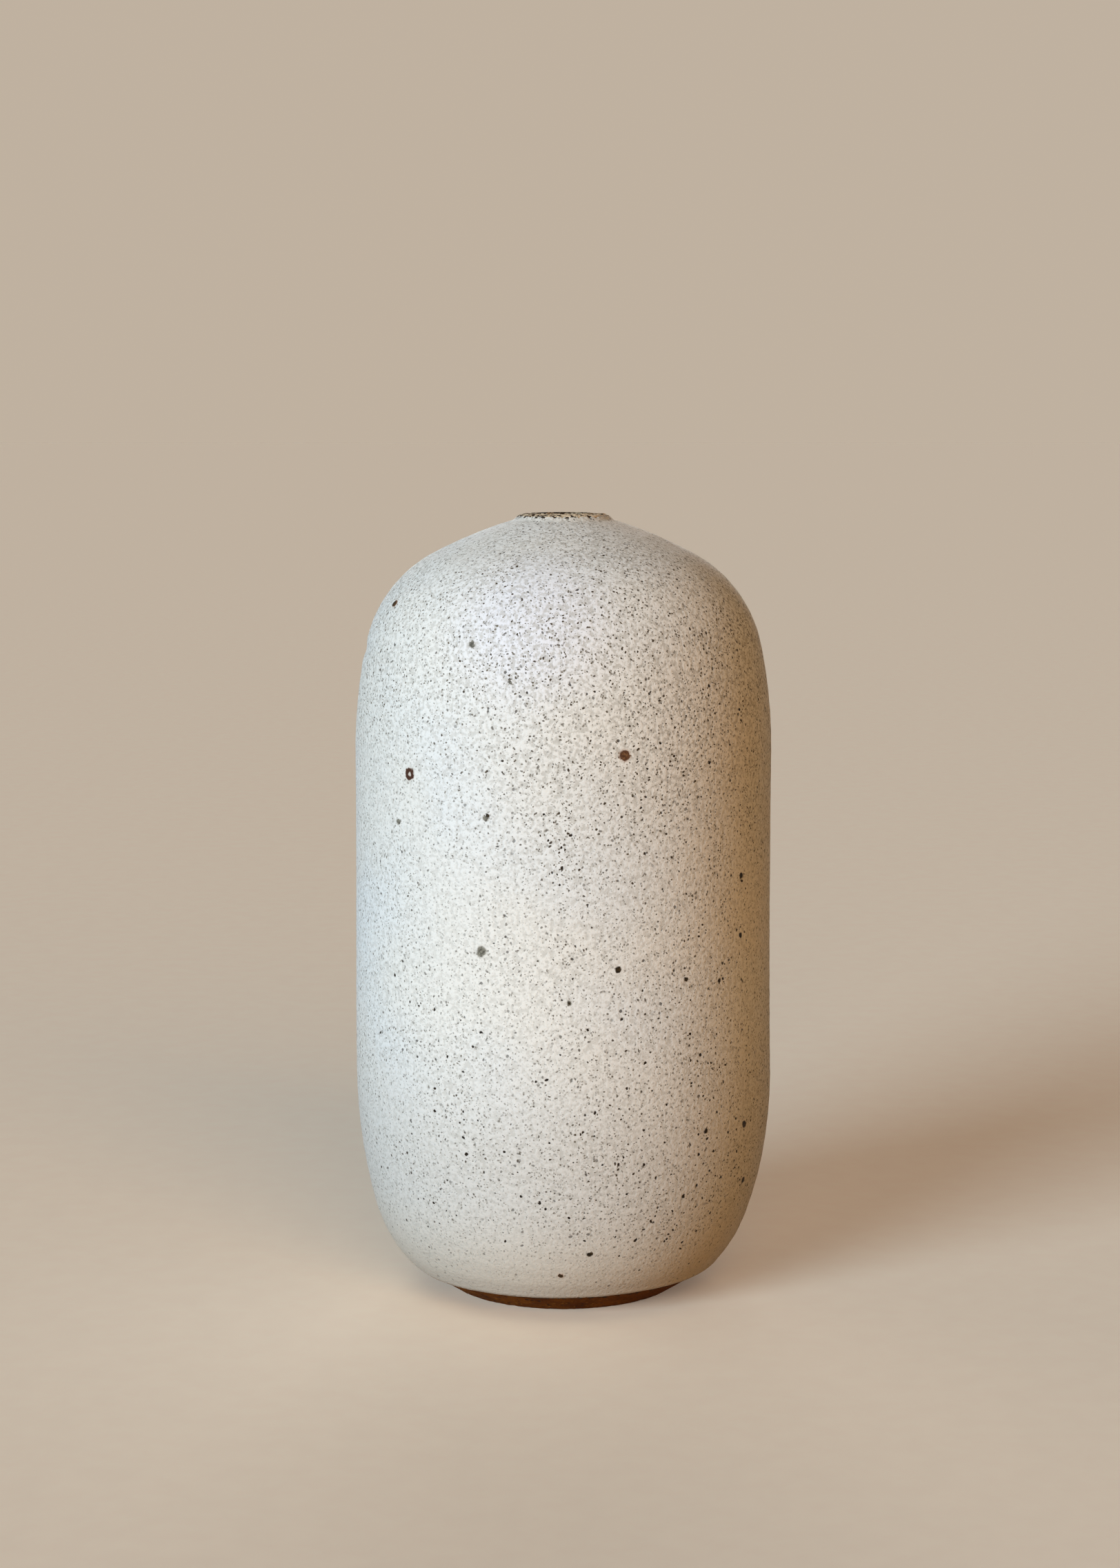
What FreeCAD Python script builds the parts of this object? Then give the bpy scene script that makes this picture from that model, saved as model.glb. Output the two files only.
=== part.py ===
"""Bud vase: a thrown stoneware bottle with an outside glaze coat and a liner glaze.

Millimetres and degrees, +Z up, origin at the middle of the foot on the surface it stands on.
Every surface of the bottle is turned about Z, so each layer is a closed half section that is
revolved.  The outside of the glaze is the master outline, from the glaze line at the heel up to
the lip: heel arc, belly arc, straight wall, upper wall arc, shoulder arc, crown arc and a small
hollow flare at the lip, each tangent to the next.  The clay, the cavity and the liner follow the
same outline at a named depth below it, so the arcs keep their centres and change only in radius.
"""
import FreeCAD
import Part
import math
import os
import Sketcher
from types import SimpleNamespace

SIZES = {
    # outside of the glazed body
    "overall_height": 167.6,        # foot to rim
    "body_diameter": 90.0,          # at the widest place
    "belly_height": 48.1,           # height of the widest place
    "wall_lean": 0.36,              # degrees that the straight wall leans in towards the top
    "belly_radius": 110.0,          # long arc from the wall down to the heel
    "heel_radius": 32.0,            # tighter arc from the belly down to the glaze line
    "glaze_line_height": 4.9,       # lower edge of the glaze
    "glaze_line_inset": 12.0,       # widest place to the lower edge of the glaze
    "shoulder_drop": 50.4,          # rim down to the top of the straight wall
    "upper_wall_radius": 112.0,     # long arc where the wall begins to close
    "shoulder_radius": 28.4,        # tight turn of the shoulder
    "crown_radius": 97.0,           # low dome between shoulder and lip
    "neck_slope": 17.6,             # degrees, slope of the crown where the lip flare begins
    # lip and mouth
    "flare_radius": 2.75,           # hollow curve up to the lip
    "lip_slope": 52.6,              # degrees, slope of the flare at its upper edge
    "lip_diameter": 19.8,           # over the upper edge of the glaze
    "lip_height": 0.65,             # bare clay that stands above the edge of the glaze
    "rim_face_inset": 0.6,          # glaze edge to the flat of the rim
    "rim_round": 0.45,              # rounding of the rim's two edges
    "mouth_diameter": 12.0,         # bore of the neck
    "throat_round": 1.0,            # rounding of the neck's lower edge
    # thicknesses
    "glaze_thickness": 0.4,
    "wall_thickness": 4.6,          # clay only
    "liner_thickness": 0.3,
    "floor_thickness": 6.0,         # clay between the foot recess and the liner
    "inner_corner_radius": 24.0,    # inside, floor to wall
    "liner_edge_gap": 1.6,          # neck bore to the edge of the liner
    # turned foot
    "foot_bevel_width": 8.3,        # undercut from the glaze line in to the foot ring
    "foot_ring_width": 5.0,
    "foot_recess_depth": 2.5,
    "foot_recess_draft": 35.0,      # degrees, slant of the recess wall
    "foot_round": 0.8,              # rounding of the foot ring's edges
}

START, END, CENTRE = 1, 2, 3        # points of a sketch element
AXIS = -2                           # the sketch's vertical axis
MATCH = 0.01                        # mm, how near an edge is to where it was meant to be

# places that several sketches share, as formulas of the sheet's cells
BODY_R = "dims.body_diameter / 2"
LIP_R = "dims.lip_diameter / 2"
MOUTH_R = "dims.mouth_diameter / 2"
GLAZE_LINE_R = BODY_R + " - dims.glaze_line_inset"
FOOT_R = GLAZE_LINE_R + " - dims.foot_bevel_width"
RECESS_R = FOOT_R + " - dims.foot_ring_width"
RECESS_TOP_R = RECESS_R + " - dims.foot_recess_depth * tan(dims.foot_recess_draft * 1 deg)"
WALL_TOP = "dims.overall_height - dims.shoulder_drop"
LIP_Z = "dims.overall_height - dims.lip_height"
FLOOR_Z = "dims.foot_recess_depth + dims.floor_thickness"
CROWN_X = (LIP_R + " + dims.flare_radius * sin(dims.lip_slope * 1 deg)"
           " - (dims.flare_radius + dims.crown_radius) * sin(dims.neck_slope * 1 deg)")
CROWN_Z = (LIP_Z + " + dims.flare_radius * cos(dims.lip_slope * 1 deg)"
           " - (dims.flare_radius + dims.crown_radius) * cos(dims.neck_slope * 1 deg)")
NECK_R = (LIP_R + " + dims.flare_radius"
          " * (sin(dims.lip_slope * 1 deg) - sin(dims.neck_slope * 1 deg))")

# depths of the layers below the master outline
SURFACE = "0"
CLAY = "dims.glaze_thickness"
CAVITY = "(dims.glaze_thickness + dims.wall_thickness)"
LINER = "(dims.glaze_thickness + dims.wall_thickness + dims.liner_thickness)"


def make_sheet(doc):
    sheet = doc.addObject("Spreadsheet::Sheet", "dims")
    for row, (name, value) in enumerate(SIZES.items(), start=1):
        sheet.set("A%d" % row, name.replace("_", " "))
        sheet.set("B%d" % row, str(value))
        sheet.setAlias("B%d" % row, name)
    doc.recompute()
    return sheet


def evaluate(sheet, formula):
    value = sheet.evalExpression(formula)
    return float(getattr(value, "Value", value))


def toward(centre, angle, distance):
    return (centre[0] + distance * math.cos(angle), centre[1] + distance * math.sin(angle))


def angle_to(start, end):
    return math.atan2(end[1] - start[1], end[0] - start[0])


def meeting_point(centre_a, radius_a, centre_b, radius_b, side):
    """Where two circles cross: to the left of the line from a to b for side 1, right for -1."""
    gap = math.dist(centre_a, centre_b)
    along = (radius_a ** 2 - radius_b ** 2 + gap ** 2) / (2 * gap)
    across = math.sqrt(radius_a ** 2 - along ** 2)
    foot = toward(centre_a, angle_to(centre_a, centre_b), along)
    return toward(foot, angle_to(centre_a, centre_b) + side * math.pi / 2, across)


def find_outline(sheet):
    """Centres and turning angles of the master outline, which every layer shares."""
    value = {name: evaluate(sheet, "dims." + name) for name in SIZES}
    out = SimpleNamespace(value=value)
    out.lean = math.radians(value["wall_lean"])
    out.belly_point = (evaluate(sheet, BODY_R), value["belly_height"])
    out.belly = toward(out.belly_point, out.lean, -value["belly_radius"])
    out.glaze_line = (evaluate(sheet, GLAZE_LINE_R), value["glaze_line_height"])
    out.heel = meeting_point(out.belly, value["belly_radius"] - value["heel_radius"],
                             out.glaze_line, value["heel_radius"], 1)
    out.heel_start = angle_to(out.heel, out.glaze_line)
    out.heel_end = angle_to(out.belly, out.heel)

    wall_top = evaluate(sheet, WALL_TOP)
    rise = (wall_top - out.belly_point[1]) / math.cos(out.lean)
    out.wall_top_point = toward(out.belly_point, out.lean + math.pi / 2, rise)
    out.upper = toward(out.wall_top_point, out.lean, -value["upper_wall_radius"])
    out.crown = (evaluate(sheet, CROWN_X), evaluate(sheet, CROWN_Z))
    out.shoulder = meeting_point(out.upper, value["upper_wall_radius"] - value["shoulder_radius"],
                                 out.crown, value["crown_radius"] - value["shoulder_radius"], 1)
    out.upper_end = angle_to(out.upper, out.shoulder)
    out.shoulder_end = angle_to(out.crown, out.shoulder)
    out.crown_end = math.radians(90 - value["neck_slope"])
    out.flare = toward(out.crown, out.crown_end, value["crown_radius"] + value["flare_radius"])
    out.flare_end = math.radians(90 - value["lip_slope"]) + math.pi
    return out


class Profile:
    """A half section on the XZ plane of its own body, with its sizes bound to the sheet."""

    def __init__(self, body, name, sheet, outline):
        self.sheet = sheet
        self.outline = outline
        self.sketch = body.newObject("Sketcher::SketchObject", name)
        plane = [item for item in body.Origin.OriginFeatures if item.Role == "XZ_Plane"][0]
        self.sketch.AttachmentSupport = (plane, [""])
        self.sketch.MapMode = "FlatFace"

    def number(self, formula):
        return evaluate(self.sheet, formula)

    def line(self, start, end, construction=False):
        segment = Part.LineSegment(FreeCAD.Vector(*start, 0), FreeCAD.Vector(*end, 0))
        return self.sketch.addGeometry(segment, construction)

    def arc(self, centre, radius, start, end):
        circle = Part.Circle(FreeCAD.Vector(*centre, 0), FreeCAD.Vector(0, 0, 1), radius)
        return self.sketch.addGeometry(Part.ArcOfCircle(circle, start, end), False)

    def point(self, element, which):
        place = self.sketch.getPoint(element, which)
        return (place.x, place.y)

    def tie(self, kind, *elements):
        self.sketch.addConstraint(Sketcher.Constraint(kind, *elements))

    def bind(self, kind, elements, formula):
        value = self.number(formula)
        if kind == "Angle":
            value = math.radians(value)
        index = self.sketch.addConstraint(Sketcher.Constraint(kind, *elements, value))
        self.sketch.setExpression("Constraints[%d]" % index, formula)

    def place(self, element, which, x=None, z=None):
        if x is not None:
            self.bind("DistanceX", (-1, START, element, which), x)
        if z is not None:
            self.bind("DistanceY", (-1, START, element, which), z)

    def wall(self, depth, crown_stop):
        """Belly, wall, upper wall, shoulder and crown at a depth below the outline."""
        out = self.outline
        value = out.value
        inset = self.number(depth)
        belly = self.arc(out.belly, value["belly_radius"] - inset, out.heel_end, out.lean)
        low = toward(out.belly_point, out.lean, -inset)
        high = toward(out.wall_top_point, out.lean, -inset)
        straight = self.line(low, high)
        upper = self.arc(out.upper, value["upper_wall_radius"] - inset, out.lean, out.upper_end)
        shoulder = self.arc(out.shoulder, value["shoulder_radius"] - inset,
                            out.upper_end, out.shoulder_end)
        crown = self.arc(out.crown, value["crown_radius"] - inset, out.shoulder_end, crown_stop)

        self.place(straight, START,
                   x=BODY_R + " - %s * cos(dims.wall_lean * 1 deg)" % depth,
                   z="dims.belly_height - %s * sin(dims.wall_lean * 1 deg)" % depth)
        self.place(straight, END, z=WALL_TOP + " - %s * sin(dims.wall_lean * 1 deg)" % depth)
        self.bind("Angle", (straight,), "90 deg + dims.wall_lean * 1 deg")
        self.tie("Tangent", belly, END, straight, START)
        self.tie("Tangent", straight, END, upper, START)
        self.tie("Tangent", upper, END, shoulder, START)
        self.tie("Tangent", shoulder, END, crown, START)
        for element, size in ((belly, "belly_radius"), (upper, "upper_wall_radius"),
                              (shoulder, "shoulder_radius"), (crown, "crown_radius")):
            self.bind("Radius", (element,), "dims.%s - %s" % (size, depth))
        self.place(crown, CENTRE, x=CROWN_X, z=CROWN_Z)
        return belly, crown

    def outside(self, depth):
        """The whole outline from the glaze line to the lip; returns its two end elements."""
        out = self.outline
        value = out.value
        inset = self.number(depth)
        belly, crown = self.wall(depth, out.crown_end)

        heel = self.arc(out.heel, value["heel_radius"] - inset, out.heel_start, out.heel_end)
        normal = self.line(out.heel, out.glaze_line, construction=True)
        self.tie("Tangent", heel, END, belly, START)
        self.tie("Coincident", heel, CENTRE, normal, START)
        self.place(normal, END, x=GLAZE_LINE_R, z="dims.glaze_line_height")
        self.bind("Radius", (heel,), "dims.heel_radius - %s" % depth)
        if depth == SURFACE:
            self.tie("Coincident", heel, START, normal, END)
        else:
            self.bind("Distance", (normal,), "dims.heel_radius")
            self.tie("PointOnObject", heel, START, normal)

        flare = self.arc(out.flare, value["flare_radius"] + inset, out.flare_end,
                         out.crown_end + math.pi)
        self.tie("Tangent", crown, END, flare, END)
        self.bind("Radius", (flare,), "dims.flare_radius + %s" % depth)
        self.place(crown, END, x=NECK_R + " - %s * sin(dims.neck_slope * 1 deg)" % depth)
        self.place(flare, START, x=LIP_R + " - %s * sin(dims.lip_slope * 1 deg)" % depth)
        return heel, flare

    def inside(self, depth, corner_formula, floor_formula, edge_formula):
        """Floor, corner and wall of the hollow, up to the crown at a radius from the axis."""
        out = self.outline
        corner_radius = self.number(corner_formula)
        reach = out.value["belly_radius"] - self.number(depth) - corner_radius
        corner_z = self.number(floor_formula) + corner_radius
        corner_x = out.belly[0] + math.sqrt(reach ** 2 - (corner_z - out.belly[1]) ** 2)
        crown_radius = out.value["crown_radius"] - self.number(depth)
        edge = self.number(edge_formula)
        crown_stop = math.acos((edge - out.crown[0]) / crown_radius)

        belly, crown = self.wall(depth, crown_stop)
        corner = self.arc((corner_x, corner_z), corner_radius, -math.pi / 2,
                          angle_to(out.belly, (corner_x, corner_z)))
        floor = self.line((0, self.number(floor_formula)),
                          (corner_x, self.number(floor_formula)))
        self.tie("Tangent", corner, END, belly, START)
        self.tie("Tangent", floor, END, corner, START)
        self.bind("Radius", (corner,), corner_formula)
        self.tie("PointOnObject", floor, START, AXIS)
        self.tie("Horizontal", floor)
        self.place(floor, START, z=floor_formula)
        self.place(crown, END, x=edge_formula)
        return floor, crown

    def join(self, element_a, which_a, element_b, which_b):
        """A straight edge between two ends that are already held."""
        edge = self.line(self.point(element_a, which_a), self.point(element_b, which_b))
        self.tie("Coincident", element_a, which_a, edge, START)
        self.tie("Coincident", edge, END, element_b, which_b)

    def chain(self, first, corners, last):
        """Straight edges from one held end through corners, given by formulas, to another."""
        element, which = first
        for x, z in corners:
            end = (self.number(x), self.number(z))
            edge = self.line(self.point(element, which), end)
            self.tie("Coincident", element, which, edge, START)
            self.place(edge, END, x=x, z=z)
            element, which = edge, END
        self.join(element, which, *last)


def turn(body, kind, name, sketch):
    feature = body.newObject(kind, name)
    feature.Profile = sketch
    feature.ReferenceAxis = (sketch, ["V_Axis"])
    feature.Angle = 360
    sketch.Visibility = False
    body.Document.recompute()
    return feature


def ring_edges(feature, places):
    """Names of the circular edges about the axis at the given radii and heights."""
    names = []
    for radius, height in places:
        found = [
            "Edge%d" % (index + 1)
            for index, edge in enumerate(feature.Shape.Edges)
            if isinstance(edge.Curve, Part.Circle)
            and abs(edge.Curve.Radius - radius) < MATCH
            and abs(edge.Curve.Center.z - height) < MATCH
        ]
        if not found:
            raise RuntimeError("no edge of radius %.2f at height %.2f" % (radius, height))
        names += found
    return names


def round_edges(body, name, places, size):
    base = body.Tip
    feature = body.newObject("PartDesign::Fillet", name)
    feature.Base = (base, ring_edges(base, places))
    feature.setExpression("Radius", size)
    body.Document.recompute()


def new_body(doc, name):
    body = doc.addObject("PartDesign::Body", name)
    body.Label = name
    body.Placement = FreeCAD.Placement()
    return body


def make_clay(doc, sheet, outline):
    """The thrown and turned shell: closed shoulder, short neck, bare rim, recessed foot ring."""
    body = new_body(doc, "stoneware_body")

    form = Profile(body, "outer_form", sheet, outline)
    heel, flare = form.outside(CLAY)
    form.chain((flare, START),
               [(LIP_R + " - dims.rim_face_inset", "dims.overall_height"),
                ("0", "dims.overall_height"), ("0", "0"), (FOOT_R, "0")],
               (heel, START))
    turn(body, "PartDesign::Revolution", "thrown_form", form.sketch)
    solid = body.Shape.Volume

    hollow = Profile(body, "hollow_section", sheet, outline)
    floor, crown = hollow.inside(CAVITY, "dims.inner_corner_radius", FLOOR_Z, MOUTH_R)
    hollow.chain((crown, END),
                 [(MOUTH_R, "dims.overall_height"), ("0", "dims.overall_height")],
                 (floor, START))
    turn(body, "PartDesign::Groove", "hollow", hollow.sketch)

    recess = Profile(body, "recess_section", sheet, outline)
    base = recess.line((0, 0), (recess.number(RECESS_R), 0))
    recess.tie("Coincident", base, START, -1, START)
    recess.tie("Horizontal", base)
    recess.place(base, END, x=RECESS_R)
    recess.chain((base, END),
                 [(RECESS_TOP_R, "dims.foot_recess_depth"), ("0", "dims.foot_recess_depth")],
                 (base, START))
    turn(body, "PartDesign::Groove", "foot_recess", recess.sketch)
    if body.Shape.Volume > solid / 2:
        raise RuntimeError("the hollow wasn't cut")

    top = evaluate(sheet, "dims.overall_height")
    mouth = evaluate(sheet, MOUTH_R)
    throat_z = hollow.point(crown, END)[1]
    round_edges(body, "rim_rounding",
                [(evaluate(sheet, LIP_R + " - dims.rim_face_inset"), top), (mouth, top)],
                "dims.rim_round")
    round_edges(body, "throat_rounding", [(mouth, throat_z)], "dims.throat_round")
    round_edges(body, "foot_rounding",
                [(evaluate(sheet, FOOT_R), 0), (evaluate(sheet, RECESS_R), 0)],
                "dims.foot_round")
    return body


def make_outer_glaze(doc, sheet, outline):
    """The coat on the outside, from the glaze line at the heel to the lip."""
    body = new_body(doc, "outer_glaze")
    coat = Profile(body, "glaze_section", sheet, outline)
    heel_out, flare_out = coat.outside(SURFACE)
    heel_in, flare_in = coat.outside(CLAY)
    coat.join(flare_out, START, flare_in, START)
    coat.join(heel_in, START, heel_out, START)
    turn(body, "PartDesign::Revolution", "glaze_coat", coat.sketch)
    return body


def make_liner_glaze(doc, sheet, outline):
    """The coat on the inside, which makes the vase hold water."""
    body = new_body(doc, "liner_glaze")
    coat = Profile(body, "liner_section", sheet, outline)
    edge = MOUTH_R + " + dims.liner_edge_gap"
    floor_out, crown_out = coat.inside(CAVITY, "dims.inner_corner_radius", FLOOR_Z, edge)
    floor_in, crown_in = coat.inside(
        LINER, "dims.inner_corner_radius - dims.liner_thickness",
        FLOOR_Z + " + dims.liner_thickness", edge)
    coat.join(crown_out, END, crown_in, END)
    coat.join(floor_in, START, floor_out, START)
    turn(body, "PartDesign::Revolution", "liner_coat", coat.sketch)
    return body


def check(doc, bodies):
    doc.recompute()
    for item in doc.Objects:
        if "Invalid" in item.State or "Error" in item.State:
            raise RuntimeError("%s failed: %s" % (item.Name, item.State))
        if item.TypeId == "Sketcher::SketchObject" and not item.FullyConstrained:
            raise RuntimeError("%s isn't fully constrained" % item.Name)
    for body in bodies:
        if body.Shape.isNull() or not body.Shape.isValid() or len(body.Shape.Solids) != 1:
            raise RuntimeError("%s isn't one valid solid" % body.Label)


def main():
    doc = FreeCAD.newDocument("bud_vase")
    sheet = make_sheet(doc)
    outline = find_outline(sheet)
    bodies = [make(doc, sheet, outline)
              for make in (make_clay, make_outer_glaze, make_liner_glaze)]
    check(doc, bodies)
    os.makedirs("parts", exist_ok=True)
    for body in bodies:
        body.Shape.exportStep("parts/%s.step" % body.Label)
        print("%-16s %9.2f mm3  %s" % (body.Label, body.Shape.Volume, body.Shape.BoundBox))


main()
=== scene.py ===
"""Dresses the bud vase: speckled outside glaze, bare toasted clay at rim and foot, liner glaze.

The vase is turned about Z, so each piece is a grid of rows, which follow the half section, and
columns, which go round the axis.  Sizes here are millimetres; meshes are scaled to metres.
"""

import math

import bpy
import numpy as np
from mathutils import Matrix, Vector, noise


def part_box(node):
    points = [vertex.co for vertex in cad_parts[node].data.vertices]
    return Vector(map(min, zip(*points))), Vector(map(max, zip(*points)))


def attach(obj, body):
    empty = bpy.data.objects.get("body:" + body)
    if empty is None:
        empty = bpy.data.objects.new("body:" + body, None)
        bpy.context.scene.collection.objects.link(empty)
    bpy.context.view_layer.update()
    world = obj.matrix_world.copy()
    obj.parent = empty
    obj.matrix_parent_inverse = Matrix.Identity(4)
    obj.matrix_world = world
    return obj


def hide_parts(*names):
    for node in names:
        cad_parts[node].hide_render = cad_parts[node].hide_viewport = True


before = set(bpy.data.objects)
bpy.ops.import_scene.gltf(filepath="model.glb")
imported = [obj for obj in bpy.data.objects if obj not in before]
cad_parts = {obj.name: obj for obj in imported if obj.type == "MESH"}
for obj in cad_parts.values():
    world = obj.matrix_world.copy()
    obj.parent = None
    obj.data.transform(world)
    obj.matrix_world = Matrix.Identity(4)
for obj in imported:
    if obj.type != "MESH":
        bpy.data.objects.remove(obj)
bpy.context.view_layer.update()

MM = 0.001
TURN = 2 * math.pi

# ---------------------------------------------------------------- sizes, from the frame
clay_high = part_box("stoneware_body")[1] / MM
glaze_low, glaze_high = [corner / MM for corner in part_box("outer_glaze")]
liner_low, liner_high = [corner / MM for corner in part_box("liner_glaze")]

HEIGHT = clay_high.z
BODY_R = glaze_high.x
GLAZE = BODY_R - clay_high.x                # thickness of the outside coat
CAVITY = BODY_R - liner_high.x              # depth of the clay's inside
GLAZE_LINE_Z = glaze_low.z
LIP_Z = glaze_high.z
FLOOR_Z = liner_low.z

# ---------------------------------------------------------------- sizes, as in the part's source
GLAZE_LINE_INSET = 12.0
BELLY_Z = 48.1
WALL_LEAN = math.radians(0.36)
BELLY_ARC = 110.0
HEEL_ARC = 32.0
SHOULDER_DROP = 50.4
UPPER_WALL_ARC = 112.0
SHOULDER_ARC = 28.4
CROWN_ARC = 97.0
NECK_SLOPE = math.radians(17.6)
FLARE_ARC = 2.75
LIP_SLOPE = math.radians(52.6)
LIP_R = 9.9
RIM_ROUND = 0.45
MOUTH_R = 6.0
THROAT_ROUND = 1.0
INNER_CORNER = 24.0
LINER = 0.3                                 # thickness of the inside coat
LINER_EDGE_R = 7.6
FOOT_BEVEL_WIDTH = 8.3
FOOT_RING_WIDTH = 5.0
RECESS_DEPTH = 2.5
RECESS_DRAFT = math.radians(35)
FOOT_ROUND = 0.8
FOOT_R = BODY_R - GLAZE_LINE_INSET - FOOT_BEVEL_WIDTH
RECESS_R = FOOT_R - FOOT_RING_WIDTH
RECESS_TOP_R = RECESS_R - RECESS_DEPTH * math.tan(RECESS_DRAFT)


# ---------------------------------------------------------------- the half section
def toward(centre, angle, distance):
    return np.array([centre[0] + distance * math.cos(angle), centre[1] + distance * math.sin(angle)])


def angle_to(start, end):
    return math.atan2(end[1] - start[1], end[0] - start[0])


def meeting_point(centre_a, radius_a, centre_b, radius_b):
    """Where two circles cross, to the left of the line from a to b."""
    gap = math.dist(centre_a, centre_b)
    along = (radius_a ** 2 - radius_b ** 2 + gap ** 2) / (2 * gap)
    across = math.sqrt(radius_a ** 2 - along ** 2)
    direction = angle_to(centre_a, centre_b)
    return toward(toward(centre_a, direction, along), direction + math.pi / 2, across)


class Outline:
    """The outside of the glaze, from the glaze line (s = 0) up to the lip (s = length)."""

    BELLY, CROWN = 1, 5                     # places of two of the arcs in the list

    def __init__(self):
        belly_point = np.array([BODY_R, BELLY_Z])
        self.belly = toward(belly_point, WALL_LEAN, -BELLY_ARC)
        glaze_line = np.array([BODY_R - GLAZE_LINE_INSET, GLAZE_LINE_Z])
        heel = meeting_point(self.belly, BELLY_ARC - HEEL_ARC, glaze_line, HEEL_ARC)
        self.belly_start = angle_to(self.belly, heel)

        rise = (HEIGHT - SHOULDER_DROP - BELLY_Z) / math.cos(WALL_LEAN)
        wall_top = toward(belly_point, WALL_LEAN + math.pi / 2, rise)
        upper = toward(wall_top, WALL_LEAN, -UPPER_WALL_ARC)
        neck = math.pi / 2 - NECK_SLOPE
        flare = (LIP_R + FLARE_ARC * math.sin(LIP_SLOPE), LIP_Z + FLARE_ARC * math.cos(LIP_SLOPE))
        self.crown = toward(flare, neck, -FLARE_ARC - CROWN_ARC)
        shoulder = meeting_point(upper, UPPER_WALL_ARC - SHOULDER_ARC,
                                 self.crown, CROWN_ARC - SHOULDER_ARC)
        upper_end = angle_to(upper, shoulder)
        self.crown_start = angle_to(self.crown, shoulder)
        wall_arc = 1e6                      # so large that the wall is straight
        wall = toward(belly_point, WALL_LEAN, -wall_arc)

        # each arc: centre, radius (negative where it is hollow), first and last angle of its normal
        self.arcs = [
            (heel, HEEL_ARC, angle_to(heel, glaze_line), self.belly_start),
            (self.belly, BELLY_ARC, self.belly_start, WALL_LEAN),
            (wall, wall_arc, WALL_LEAN, WALL_LEAN + rise / wall_arc),
            (upper, UPPER_WALL_ARC, WALL_LEAN, upper_end),
            (shoulder, SHOULDER_ARC, upper_end, self.crown_start),
            (self.crown, CROWN_ARC, self.crown_start, neck),
            (flare, -FLARE_ARC, neck, math.pi / 2 - LIP_SLOPE),
        ]
        lengths = [radius * (last - first) for _, radius, first, last in self.arcs]
        self.starts = np.concatenate([[0], np.cumsum(lengths)])
        self.length = self.starts[-1]

    def place(self, s, depth=0.0):
        """Radius and height at a distance along the outline and a depth below it."""
        s, depth = np.broadcast_arrays(s, depth)
        which = np.clip(np.searchsorted(self.starts, s, side="right") - 1, 0, len(self.arcs) - 1)
        centre_r, centre_z, arc, first = [
            np.array(values)[which]
            for values in zip(*[(centre[0], centre[1], radius, start)
                                for centre, radius, start, _ in self.arcs])
        ]
        normal = first + (s - self.starts[which]) / arc
        return centre_r + (arc - depth) * np.cos(normal), centre_z + (arc - depth) * np.sin(normal)

    def at_height(self, height):
        """The distance along the outline at which it reaches a height."""
        s = np.linspace(0, self.length, 2000)
        return float(np.interp(height, self.place(s)[1], s))

    def to_ends(self, s):
        """How far a place on the outline is from the nearer end."""
        return np.minimum(s, self.length - s)


OUTLINE = Outline()


def spaced(points, step):
    """The same line with points added, so that no two are further apart than a step."""
    out = [points[0]]
    for start, end in zip(points, points[1:]):
        count = max(1, math.ceil(math.dist(start, end) / step))
        out += [start + (end - start) * k / count for k in range(1, count + 1)]
    return out


def rounded(before, corner, after, radius, count=7):
    """Points round a corner of a section."""
    back = angle_to(corner, before)
    on = angle_to(corner, after)
    turn = (on - back + math.pi) % TURN - math.pi
    half = abs(turn) / 2
    centre = toward(corner, back + turn / 2, radius / math.sin(half))
    sweep = math.copysign(math.pi - 2 * half, turn)
    first = back - math.copysign(math.pi / 2, turn)
    return [toward(centre, first - sweep * k / (count - 1), radius) for k in range(count)]


def hollow(depth, edge_r, corner_arc, floor_z, step, side_count=90, corner_count=24):
    """Inside of the vase, from its upper edge down to the middle of the floor."""
    corner_z = floor_z + corner_arc
    reach = BELLY_ARC - depth - corner_arc
    across = math.sqrt(reach ** 2 - (corner_z - OUTLINE.belly[1]) ** 2)
    corner = (OUTLINE.belly[0] + across, corner_z)
    meet = angle_to(OUTLINE.belly, corner)
    low = OUTLINE.starts[Outline.BELLY] + (meet - OUTLINE.belly_start) * BELLY_ARC
    edge = math.acos((edge_r - OUTLINE.crown[0]) / (CROWN_ARC - depth))
    high = OUTLINE.starts[Outline.CROWN] + (edge - OUTLINE.crown_start) * CROWN_ARC
    side = np.stack(OUTLINE.place(np.linspace(high, low, side_count), depth), -1)
    bend = [toward(corner, angle, corner_arc)
            for angle in np.linspace(meet, -math.pi / 2, corner_count)]
    return spaced(list(side) + bend[1:] + [np.array([0.0, floor_z])], step)


# ---------------------------------------------------------------- hand-made unevenness
# Layers of smooth noise: size and pitch in millimetres, and a seed
WALL_LUMPS = [(0.30, 55.0, 3.1), (0.07, 14.0, 7.7)]
LOW_EDGE_LUMPS = [(0.30, 16.0, 1.3), (0.16, 4.0, 5.9)]
HIGH_EDGE_LUMPS = [(0.12, 9.0, 8.2)]
HIGH_EDGE_BITES = [(1.0, 4.0, 2.4)]
GRIT_LUMPS = [(1.0, 1.1, 6.5), (0.5, 0.5, 6.5)]
GRIT_PITS = [(1.0, 1.54, 10.5)]
RING_PATCHES = [(1.0, 30.0, 11.3)]

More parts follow.
